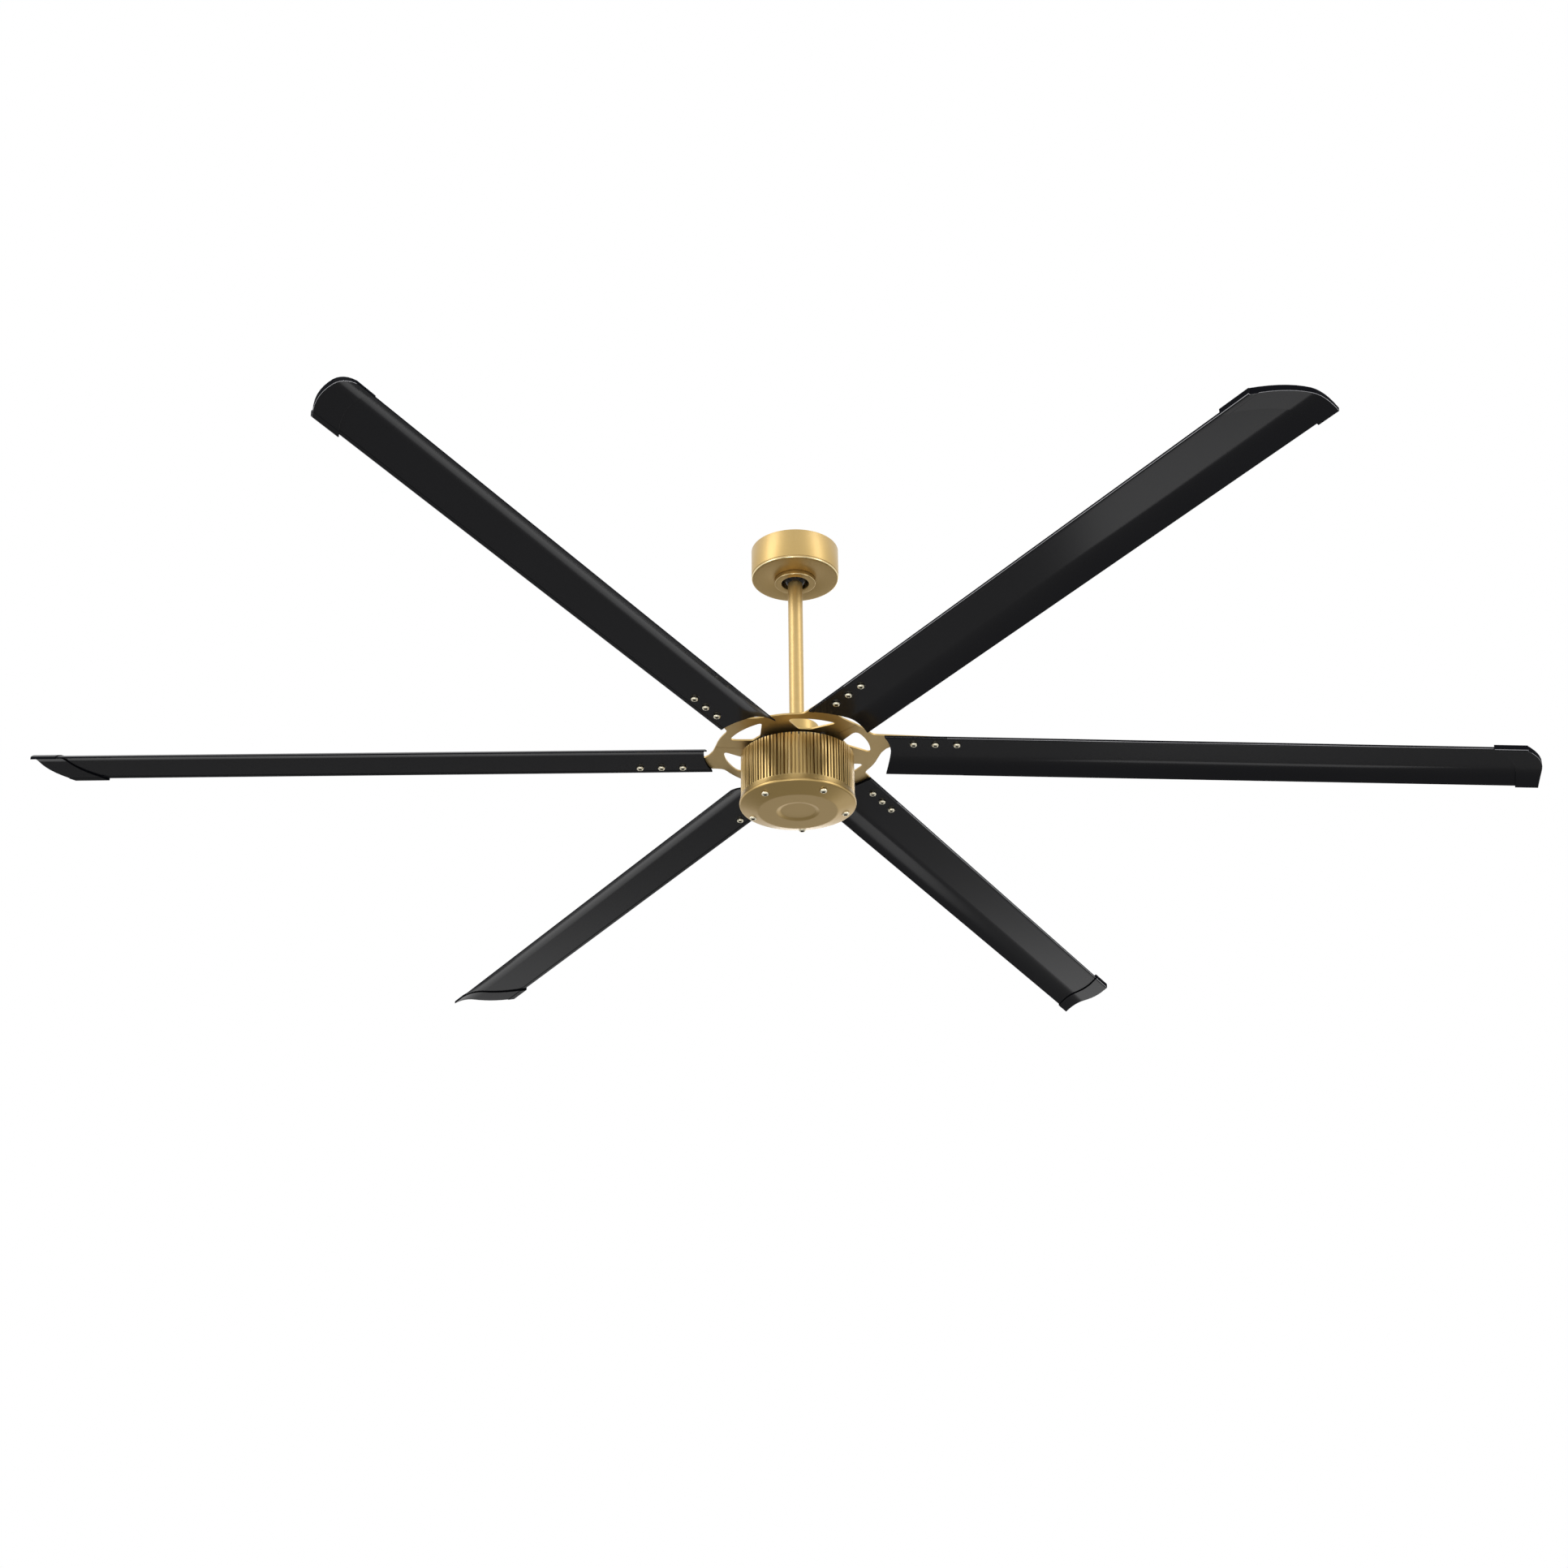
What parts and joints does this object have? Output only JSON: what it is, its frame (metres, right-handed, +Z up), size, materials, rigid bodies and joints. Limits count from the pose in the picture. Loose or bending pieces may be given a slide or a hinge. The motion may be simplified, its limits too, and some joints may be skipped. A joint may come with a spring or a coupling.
{
  "type": "industrial ceiling fan",
  "caption": "Large ceiling fan on a downrod: long pitched blades with raked end caps on a windowed hub plate, over a ribbed drum motor with a dished bottom cap.",
  "frame": {"origin": "centre of the hanger bracket's top face, in the plane of the ceiling and on the fan's axis", "axes": "+Z up, along the downrod towards the ceiling; +X along the first blade; +Y completes the right hand"},
  "size_m": [2.54, 2.2422, 0.505],
  "materials": {
    "champagne_gold": "satin metallic champagne gold",
    "gold_screw": "bright gold plated",
    "black_blade": "satin black coating",
    "black_end_cap": "satin black",
    "black_ball": "smooth black",
    "black_bracket": "black coated steel",
    "bright_steel": "turned steel",
    "stator_steel": "laminated steel",
    "copper_winding": "enamelled copper wire",
    "magnet_grey": "coated magnet",
    "driver_case": "black plastic"
  },
  "bodies": {
    "ceiling_mount": {"ceiling_bracket": "black_bracket", "canopy": "champagne_gold", "canopy_ring": "champagne_gold", "canopy_screw_1": "bright_steel", "canopy_screw_2": "bright_steel", "driver_box": "driver_case"},
    "suspension": {"hanger_ball": "black_ball", "hanger_pin": "bright_steel", "downrod": "champagne_gold", "coupling_cover": "champagne_gold", "motor_coupler": "black_bracket", "coupling_pin": "bright_steel", "motor_shaft": "bright_steel", "shaft_nut": "bright_steel", "stator_core": "stator_steel", "stator_winding": "copper_winding", "upper_bearing_inner": "bright_steel", "lower_bearing_inner": "bright_steel"},
    "rotor": {"hub_plate": "champagne_gold", "motor_top_cover": "black_bracket", "motor_drum": "champagne_gold", "magnet_ring": "magnet_grey", "bottom_cap": "champagne_gold", "motor_bolt_1": "gold_screw", "motor_bolt_2": "gold_screw", "motor_bolt_3": "gold_screw", "motor_bolt_4": "gold_screw", "motor_bolt_5": "gold_screw", "upper_bearing_outer": "bright_steel", "lower_bearing_outer": "bright_steel", "blade_1": "black_blade", "blade_2": "black_blade", "blade_3": "black_blade", "blade_4": "black_blade", "blade_5": "black_blade", "blade_6": "black_blade", "blade_cap_1": "black_end_cap", "blade_cap_2": "black_end_cap", "blade_cap_3": "black_end_cap", "blade_cap_4": "black_end_cap", "blade_cap_5": "black_end_cap", "blade_cap_6": "black_end_cap", "blade_screw_1_1": "gold_screw", "blade_screw_1_2": "gold_screw", "blade_screw_1_3": "gold_screw", "blade_screw_2_1": "gold_screw", "blade_screw_2_2": "gold_screw", "blade_screw_2_3": "gold_screw", "blade_screw_3_1": "gold_screw", "blade_screw_3_2": "gold_screw", "blade_screw_3_3": "gold_screw", "blade_screw_4_1": "gold_screw", "blade_screw_4_2": "gold_screw", "blade_screw_4_3": "gold_screw", "blade_screw_5_1": "gold_screw", "blade_screw_5_2": "gold_screw", "blade_screw_5_3": "gold_screw", "blade_screw_6_1": "gold_screw", "blade_screw_6_2": "gold_screw", "blade_screw_6_3": "gold_screw"}
  },
  "joints": [
    {"name": "hanger_swing", "type": "hinge", "parent": "ceiling_mount", "child": "suspension", "pos_m": [0, 0, -0.0445], "axis": [1, 0, 0], "range_deg": [-15, 15]},
    {"name": "rotor_spin", "type": "hinge", "parent": "suspension", "child": "rotor", "pos_m": [0, 0, -0.394], "axis": [0, 0, 1], "continuous": true}
  ]
}
